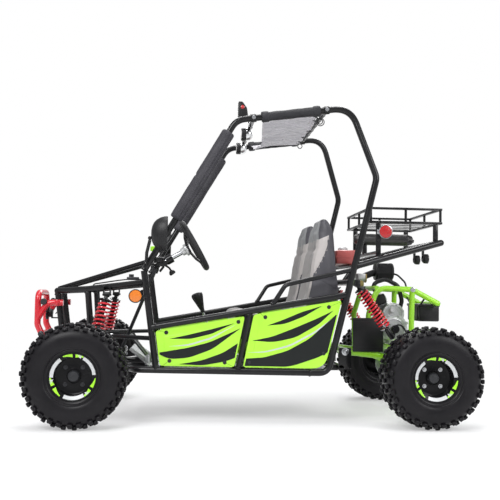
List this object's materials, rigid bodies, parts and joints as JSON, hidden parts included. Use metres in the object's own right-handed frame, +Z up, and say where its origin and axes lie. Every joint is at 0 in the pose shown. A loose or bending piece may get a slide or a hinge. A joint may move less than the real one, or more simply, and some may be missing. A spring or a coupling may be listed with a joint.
{
  "type": "off road go kart",
  "caption": "Two-seat off-road kart with a tubular roll cage, knobby tyres, coil spring suspension, side panels, roof cloth, rear engine and luggage rack.",
  "frame": {"origin": "on the ground, under the middle of the overall box", "axes": "+X to the rear, -Y to the driver's left side, +Z up"},
  "size_m": [2.182, 1.21, 1.614],
  "materials": {
    "black_paint": "satin black powder coat",
    "red_paint": "glossy red paint",
    "lime_paint": "satin lime paint",
    "lime_plastic": "glossy lime plastic with black slashes",
    "black_plastic": "fine grained black plastic",
    "grey_steel": "grey painted steel",
    "bright_steel": "zinc plated steel",
    "aluminium": "cast aluminium",
    "tyre_rubber": "knobby black rubber",
    "seat_cover": "dark grey vinyl with a light stripe",
    "pale_cloth": "thin grey cloth",
    "dark_foam": "dark grey foam",
    "tank_plastic": "dull red plastic"
  },
  "bodies": {
    "frame": {"chassis_frame": "black_paint", "floor_pan": "grey_steel", "rear_subframe": "black_paint", "silencer": "black_paint", "fuel_tank": "tank_plastic", "cargo_rack": "black_paint", "front_bumper": "red_paint", "roof_bar_front": "black_paint", "roof_bar_rear": "black_paint", "roof_cloth": "pale_cloth", "cage_left": "black_paint", "side_frame_left": "black_paint", "side_panel_front_left": "lime_plastic", "side_panel_rear_left": "lime_plastic", "pillar_pad_left": "dark_foam", "seat_left": "seat_cover", "cage_right": "black_paint", "side_frame_right": "black_paint", "side_panel_front_right": "lime_plastic", "side_panel_rear_right": "lime_plastic", "pillar_pad_right": "dark_foam", "seat_right": "seat_cover"},
    "steering_wheel_body": {"steering_wheel": "black_plastic"},
    "steering_shaft_body": {"steering_shaft": "bright_steel"},
    "steering_rack_body": {"steering_rack": "bright_steel"},
    "brake_pedal_body": {"brake_pedal": "grey_steel"},
    "throttle_pedal_body": {"throttle_pedal": "grey_steel"},
    "shift_lever_body": {"shift_lever": "black_plastic"},
    "swing_arm_body": {"swing_arm": "lime_paint", "engine": "aluminium"},
    "fuel_cap_body": {"fuel_cap": "aluminium"},
    "rear_axle_body": {"rear_axle": "bright_steel", "rim_rear_left": "black_plastic", "rim_rear_right": "black_plastic", "tyre_rear_left": "tyre_rubber", "tyre_rear_right": "tyre_rubber"},
    "front_arm_left_body": {"front_arm_left": "black_paint"},
    "knuckle_left_body": {"knuckle_left": "grey_steel"},
    "tie_rod_left_body": {"tie_rod_left": "bright_steel"},
    "front_wheel_left": {"rim_front_left": "black_plastic", "tyre_front_left": "tyre_rubber"},
    "mirror_left_body": {"mirror_left": "black_plastic"},
    "front_damper_left": {"front_shock_left_damper": "black_paint", "front_shock_left_spring": "red_paint"},
    "front_rod_left": {"front_shock_left_rod": "bright_steel"},
    "rear_damper_left": {"rear_shock_left_damper": "black_paint", "rear_shock_left_spring": "red_paint"},
    "rear_rod_left": {"rear_shock_left_rod": "bright_steel"},
    "front_arm_right_body": {"front_arm_right": "black_paint"},
    "knuckle_right_body": {"knuckle_right": "grey_steel"},
    "tie_rod_right_body": {"tie_rod_right": "bright_steel"},
    "front_wheel_right": {"rim_front_right": "black_plastic", "tyre_front_right": "tyre_rubber"},
    "mirror_right_body": {"mirror_right": "black_plastic"},
    "front_damper_right": {"front_shock_right_damper": "black_paint", "front_shock_right_spring": "red_paint"},
    "front_rod_right": {"front_shock_right_rod": "bright_steel"},
    "rear_damper_right": {"rear_shock_right_damper": "black_paint", "rear_shock_right_spring": "red_paint"},
    "rear_rod_right": {"rear_shock_right_rod": "bright_steel"}
  },
  "joints": [
    {"name": "steering", "type": "hinge", "parent": "frame", "child": "steering_wheel_body", "pos_m": [-0.288, -0.2, 0.866], "axis": [0.8656, 0, 0.5008], "range_deg": [-115, 115]},
    {"name": "steering_shaft_turn", "type": "hinge", "parent": "frame", "child": "steering_shaft_body", "pos_m": [-0.47298, -0.2, 0.75898], "axis": [0.3672, -0.2929, 0.8828], "range_deg": [-116, 116]},
    {"name": "rack_slide", "type": "slide", "parent": "frame", "child": "steering_rack_body", "axis": [0, 1, 0], "range_m": [-0.0295, 0.0295]},
    {"name": "front_suspension_left", "type": "hinge", "parent": "frame", "child": "front_arm_left_body", "pos_m": [-0.824, -0.19, 0.262], "axis": [-1, 0, 0], "range_deg": [-6, 8], "stiffness_Nm_per_rad": 5200, "springref_deg": -2.58},
    {"name": "knuckle_turn_left", "type": "hinge", "parent": "front_arm_left_body", "child": "knuckle_left_body", "pos_m": [-0.824, -0.415, 0.241], "axis": [0, 0, 1], "range_deg": [-22.5, 22.5]},
    {"name": "tie_rod_turn_left", "type": "hinge", "parent": "knuckle_left_body", "child": "tie_rod_left_body", "pos_m": [-0.745, -0.394, 0.268], "axis": [0, 0, 1], "range_deg": [-22.5, 22.5]},
    {"name": "front_wheel_spin_left", "type": "hinge", "parent": "knuckle_left_body", "child": "front_wheel_left", "pos_m": [-0.824, -0.515, 0.241], "axis": [0, 1, 0], "continuous": true},
    {"name": "front_shock_swing_left", "type": "hinge", "parent": "frame", "child": "front_damper_left", "pos_m": [-0.715, -0.262, 0.61], "axis": [-0.2342, 0.9561, -0.176], "range_deg": [-1, 1]},
    {"name": "front_shock_stroke_left", "type": "slide", "parent": "front_damper_left", "child": "front_rod_left", "axis": [0.2196, 0.2283, 0.9485], "range_m": [-0.018, 0.023], "deforming": ["front_shock_left_spring"]},
    {"name": "front_suspension_right", "type": "hinge", "parent": "frame", "child": "front_arm_right_body", "pos_m": [-0.824, 0.19, 0.262], "axis": [1, 0, 0], "range_deg": [-6, 8], "stiffness_Nm_per_rad": 5200, "springref_deg": -2.58},
    {"name": "knuckle_turn_right", "type": "hinge", "parent": "front_arm_right_body", "child": "knuckle_right_body", "pos_m": [-0.824, 0.415, 0.241], "axis": [0, 0, 1], "range_deg": [-22.5, 22.5]},
    {"name": "tie_rod_turn_right", "type": "hinge", "parent": "knuckle_right_body", "child": "tie_rod_right_body", "pos_m": [-0.745, 0.394, 0.268], "axis": [0, 0, 1], "range_deg": [-22.5, 22.5]},
    {"name": "front_wheel_spin_right", "type": "hinge", "parent": "knuckle_right_body", "child": "front_wheel_right", "pos_m": [-0.824, 0.515, 0.241], "axis": [0, 1, 0], "continuous": true},
    {"name": "front_shock_swing_right", "type": "hinge", "parent": "frame", "child": "front_damper_right", "pos_m": [-0.715, 0.262, 0.61], "axis": [0.2342, 0.9561, 0.176], "range_deg": [-1, 1]},
    {"name": "front_shock_stroke_right", "type": "slide", "parent": "front_damper_right", "child": "front_rod_right", "axis": [0.2196, -0.2283, 0.9485], "range_m": [-0.018, 0.023], "deforming": ["front_shock_right_spring"]},
    {"name": "rear_suspension", "type": "hinge", "parent": "frame", "child": "swing_arm_body", "pos_m": [0.498, 0, 0.336], "axis": [0, -1, 0], "range_deg": [-6, 8], "stiffness_Nm_per_rad": 14000, "springref_deg": -2.29},
    {"name": "rear_axle_spin", "type": "hinge", "parent": "swing_arm_body", "child": "rear_axle_body", "pos_m": [0.85, 0, 0.241], "axis": [0, 1, 0], "continuous": true},
    {"name": "rear_shock_swing_left", "type": "hinge", "parent": "frame", "child": "rear_damper_left", "pos_m": [0.534, -0.3, 0.679], "axis": [0, -1, 0], "range_deg": [-2, 2.5]},
    {"name": "rear_shock_stroke_left", "type": "slide", "parent": "rear_damper_left", "child": "rear_rod_left", "axis": [-0.5727, 0, 0.8198], "range_m": [-0.026, 0.035], "deforming": ["rear_shock_left_spring"]},
    {"name": "mirror_tilt_left", "type": "hinge", "parent": "frame", "child": "mirror_left_body", "pos_m": [-0.502, -0.432, 0.884], "axis": [0, 1, 0], "range_deg": [-10, 10]},
    {"name": "rear_shock_swing_right", "type": "hinge", "parent": "frame", "child": "rear_damper_right", "pos_m": [0.534, 0.3, 0.679], "axis": [0, -1, 0], "range_deg": [-2, 2.5]},
    {"name": "rear_shock_stroke_right", "type": "slide", "parent": "rear_damper_right", "child": "rear_rod_right", "axis": [-0.5727, 0, 0.8198], "range_m": [-0.026, 0.035], "deforming": ["rear_shock_right_spring"]},
    {"name": "mirror_tilt_right", "type": "hinge", "parent": "frame", "child": "mirror_right_body", "pos_m": [-0.502, 0.432, 0.884], "axis": [0, 1, 0], "range_deg": [-10, 10]},
    {"name": "brake_pedal_travel", "type": "hinge", "parent": "frame", "child": "brake_pedal_body", "pos_m": [-0.508, -0.228, 0.3], "axis": [0, -1, 0], "range_deg": [0, 12], "stiffness_Nm_per_rad": 20, "springref_deg": -11.46},
    {"name": "throttle_pedal_travel", "type": "hinge", "parent": "frame", "child": "throttle_pedal_body", "pos_m": [-0.508, -0.136, 0.3], "axis": [0, -1, 0], "range_deg": [0, 12], "stiffness_Nm_per_rad": 20, "springref_deg": -11.46},
    {"name": "shift_lever_throw", "type": "hinge", "parent": "frame", "child": "shift_lever_body", "pos_m": [-0.15, 0, 0.312], "axis": [0, 1, 0], "range_deg": [-12, 12]},
    {"name": "fuel_cap_turn", "type": "hinge", "parent": "frame", "child": "fuel_cap_body", "pos_m": [0.522, 0, 0.8651], "axis": [0, 0, 1], "range_deg": [0, 90]}
  ],
  "couplings": [
    {"joint": "steering_shaft_turn", "follows": "steering", "ratio": 1},
    {"joint": "rack_slide", "follows": "steering", "m_per_rad": 0.0145},
    {"joint": "knuckle_turn_left", "follows": "steering", "ratio": 0.1913},
    {"joint": "tie_rod_turn_left", "follows": "steering", "ratio": -0.1913},
    {"joint": "front_shock_swing_left", "follows": "front_suspension_left", "ratio": 0.1023},
    {"joint": "front_shock_stroke_left", "follows": "front_suspension_left", "m_per_rad": 0.148},
    {"joint": "knuckle_turn_right", "follows": "steering", "ratio": 0.1913},
    {"joint": "tie_rod_turn_right", "follows": "steering", "ratio": -0.1913},
    {"joint": "front_shock_swing_right", "follows": "front_suspension_right", "ratio": 0.1023},
    {"joint": "front_shock_stroke_right", "follows": "front_suspension_right", "m_per_rad": 0.148},
    {"joint": "rear_shock_swing_left", "follows": "rear_suspension", "ratio": 0.2425},
    {"joint": "rear_shock_stroke_left", "follows": "rear_suspension", "m_per_rad": 0.226},
    {"joint": "rear_shock_swing_right", "follows": "rear_suspension", "ratio": 0.2425},
    {"joint": "rear_shock_stroke_right", "follows": "rear_suspension", "m_per_rad": 0.226}
  ]
}
